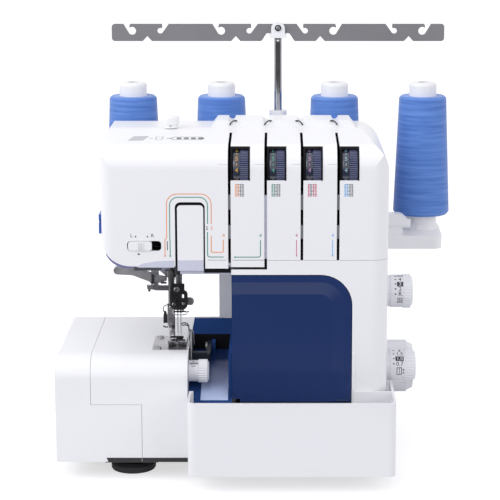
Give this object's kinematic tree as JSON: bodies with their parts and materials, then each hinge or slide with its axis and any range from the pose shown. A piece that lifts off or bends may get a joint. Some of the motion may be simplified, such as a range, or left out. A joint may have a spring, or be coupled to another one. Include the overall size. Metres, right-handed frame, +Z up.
{
  "type": "serger overlock machine",
  "caption": "Home serger with a free arm, looper cover, tension dials, handwheel, trim bin, and thread cones under a telescopic thread tree.",
  "frame": {"origin": "on the floor, under the middle of the overall box", "axes": "+Z up from the feet to the thread tree, -Y towards the person who sews (needle side and trim bin), +X towards the handwheel"},
  "size_m": [0.368, 0.277, 0.3962],
  "materials": {
    "white_plastic": "satin moulded plastic",
    "lavender_plastic": "satin",
    "grey_plastic": "matt",
    "rubber": "matt",
    "cast_metal": "painted casting",
    "lamp_plastic": "satin",
    "blue_plastic": "gloss",
    "plate_steel": "polished",
    "screw_steel": "plain",
    "dark_steel": "blued",
    "bright_steel": "polished",
    "dial_plastic": "satin",
    "black_plastic": "satin",
    "dark_plastic": "matt",
    "motor_steel": "satin paint",
    "navy_plastic": "satin moulded plastic",
    "blue_thread": "spun polyester",
    "chrome": "polished",
    "tree_plastic": "satin grey paint"
  },
  "bodies": {
    "machine": {"base_pan": "grey_plastic", "rubber_feet": "rubber", "machine_frame": "cast_metal", "column_housing": "white_plastic", "rear_cover": "white_plastic", "arm_cover": "white_plastic", "top_guide_cover": "white_plastic", "arm_underside": "lavender_plastic", "work_lamp": "lamp_plastic", "thread_cutter": "blue_plastic", "take_up_cover": "white_plastic", "bed_cover": "white_plastic", "needle_plate": "plate_steel", "screws": "screw_steel", "lower_knife": "dark_steel", "tension_unit": "black_plastic", "motor": "motor_steel", "drive_belt": "rubber", "inlet_socket": "black_plastic", "trim_chute": "navy_plastic", "spool_stand": "white_plastic", "mast_rod": "bright_steel"},
    "drive": {"handwheel": "white_plastic", "main_shaft": "bright_steel", "shaft_pulley": "dark_plastic"},
    "rotor": {"motor_pulley": "bright_steel"},
    "lifter": {"presser_lifter": "bright_steel"},
    "presser": {"presser_bar": "bright_steel", "presser_foot": "bright_steel"},
    "needle": {"needle_bar": "bright_steel", "needle_clamp": "dark_steel", "needles": "bright_steel"},
    "looper_up": {"upper_looper": "bright_steel"},
    "looper_low": {"lower_looper": "bright_steel"},
    "knife": {"upper_knife": "dark_steel"},
    "feed": {"feed_dogs": "dark_steel"},
    "tension_1": {"tension_dial_1": "dial_plastic"},
    "tension_2": {"tension_dial_2": "dial_plastic"},
    "tension_3": {"tension_dial_3": "dial_plastic"},
    "tension_4": {"tension_dial_4": "dial_plastic"},
    "slider": {"thread_slider": "white_plastic"},
    "width": {"stitch_width_knob": "white_plastic"},
    "length": {"stitch_length_dial": "white_plastic"},
    "differential": {"differential_dial": "white_plastic"},
    "pressure": {"pressure_knob": "white_plastic"},
    "switch": {"power_switch": "black_plastic"},
    "attachment": {"free_arm_attachment": "white_plastic"},
    "cover": {"front_cover": "navy_plastic"},
    "bin": {"trim_bin": "white_plastic"},
    "mast": {"mast_tube": "chrome"},
    "tree": {"thread_tree": "tree_plastic", "tree_bracket": "white_plastic"},
    "cone_1": {"cone_core_1": "white_plastic", "thread_1": "blue_thread"},
    "cone_2": {"cone_core_2": "white_plastic", "thread_2": "blue_thread"},
    "cone_3": {"cone_core_3": "white_plastic", "thread_3": "blue_thread"},
    "cone_4": {"cone_core_4": "white_plastic", "thread_4": "blue_thread"}
  },
  "joints": [
    {"name": "handwheel_turn", "type": "hinge", "parent": "machine", "child": "drive", "pos_m": [0.1, 0.0285, 0.071], "axis": [1, 0, 0], "continuous": true},
    {"name": "motor_turn", "type": "hinge", "parent": "machine", "child": "rotor", "pos_m": [0.09, 0.012, 0.132], "axis": [1, 0, 0], "continuous": true},
    {"name": "presser_lift", "type": "hinge", "parent": "machine", "child": "lifter", "pos_m": [-0.098, -0.032, 0.171], "axis": [0, 1, 0], "range_deg": [-30, 0]},
    {"name": "presser_rise", "type": "slide", "parent": "machine", "child": "presser", "axis": [0, 0, 1], "range_m": [0, 0.0061]},
    {"name": "needle_stroke", "type": "slide", "parent": "machine", "child": "needle", "axis": [0, 0, 1], "range_m": [-0.014, 0.013]},
    {"name": "upper_looper_swing", "type": "hinge", "parent": "machine", "child": "looper_up", "pos_m": [-0.071, -0.0466, 0.058], "axis": [0, 1, 0], "range_deg": [0, 6]},
    {"name": "lower_looper_swing", "type": "hinge", "parent": "machine", "child": "looper_low", "pos_m": [-0.086, -0.0397, 0.058], "axis": [0, 1, 0], "range_deg": [-6, 10]},
    {"name": "knife_swing", "type": "hinge", "parent": "machine", "child": "knife", "pos_m": [-0.048, -0.022, 0.104], "axis": [1, 0, 0], "range_deg": [0, 6]},
    {"name": "feed_travel", "type": "slide", "parent": "machine", "child": "feed", "axis": [0, 1, 0], "range_m": [-0.0015, 0.0015]},
    {"name": "tension_1_turn", "type": "hinge", "parent": "machine", "child": "tension_1", "pos_m": [-0.017, -0.0829, 0.283], "axis": [1, 0, 0], "range_deg": [-140, 175]},
    {"name": "tension_2_turn", "type": "hinge", "parent": "machine", "child": "tension_2", "pos_m": [0.0148, -0.0829, 0.283], "axis": [1, 0, 0], "range_deg": [-140, 175]},
    {"name": "tension_3_turn", "type": "hinge", "parent": "machine", "child": "tension_3", "pos_m": [0.0466, -0.0829, 0.283], "axis": [1, 0, 0], "range_deg": [-140, 175]},
    {"name": "tension_4_turn", "type": "hinge", "parent": "machine", "child": "tension_4", "pos_m": [0.0784, -0.0829, 0.283], "axis": [1, 0, 0], "range_deg": [-140, 175]},
    {"name": "thread_slide", "type": "slide", "parent": "machine", "child": "slider", "axis": [1, 0, 0], "range_m": [0, 0.008]},
    {"name": "stitch_width_turn", "type": "hinge", "parent": "machine", "child": "width", "pos_m": [-0.06, -0.078, 0.096], "axis": [1, 0, 0], "range_deg": [-60, 60]},
    {"name": "stitch_length_turn", "type": "hinge", "parent": "machine", "child": "length", "pos_m": [0.12, -0.0515, 0.164], "axis": [1, 0, 0], "range_deg": [-120, 120]},
    {"name": "differential_turn", "type": "hinge", "parent": "machine", "child": "differential", "pos_m": [0.12, -0.0515, 0.094], "axis": [1, 0, 0], "range_deg": [-90, 120]},
    {"name": "pressure_turn", "type": "hinge", "parent": "machine", "child": "pressure", "pos_m": [-0.0825, -0.0115, 0.31], "axis": [0, 0, 1], "range_deg": [-360, 360]},
    {"name": "switch_rock", "type": "hinge", "parent": "machine", "child": "switch", "pos_m": [0.109, -0.013, 0.032], "axis": [0, 1, 0], "range_deg": [0, 10]},
    {"name": "attachment_slide", "type": "slide", "parent": "machine", "child": "attachment", "axis": [-1, 0, 0], "range_m": [0, 0.06]},
    {"name": "cover_open", "type": "hinge", "parent": "machine", "child": "cover", "pos_m": [0.028, -0.0915, 0.0785], "axis": [1, 0, 0], "range_deg": [0, 70]},
    {"name": "bin_slide", "type": "slide", "parent": "machine", "child": "bin", "axis": [0, -1, 0], "range_m": [0, 0.08]},
    {"name": "mast_slide", "type": "slide", "parent": "machine", "child": "mast", "axis": [0, 0, 1], "range_m": [-0.035, 0]},
    {"name": "tree_turn", "type": "hinge", "parent": "mast", "child": "tree", "pos_m": [0.0156, 0.0955, 0.38], "axis": [0, 0, 1], "range_deg": [-90, 90]},
    {"name": "cone_1_turn", "type": "hinge", "parent": "machine", "child": "cone_1", "pos_m": [-0.1254, 0.0955, 0.21], "axis": [0, 0, 1], "continuous": true},
    {"name": "cone_2_turn", "type": "hinge", "parent": "machine", "child": "cone_2", "pos_m": [-0.0394, 0.0955, 0.21], "axis": [0, 0, 1], "continuous": true},
    {"name": "cone_3_turn", "type": "hinge", "parent": "machine", "child": "cone_3", "pos_m": [0.0706, 0.0955, 0.21], "axis": [0, 0, 1], "continuous": true},
    {"name": "cone_4_turn", "type": "hinge", "parent": "machine", "child": "cone_4", "pos_m": [0.1566, 0.0955, 0.21], "axis": [0, 0, 1], "continuous": true}
  ],
  "couplings": [
    {"joint": "motor_turn", "follows": "handwheel_turn", "ratio": 3.8},
    {"joint": "presser_rise", "follows": "presser_lift", "m_per_rad": -0.011459}
  ]
}
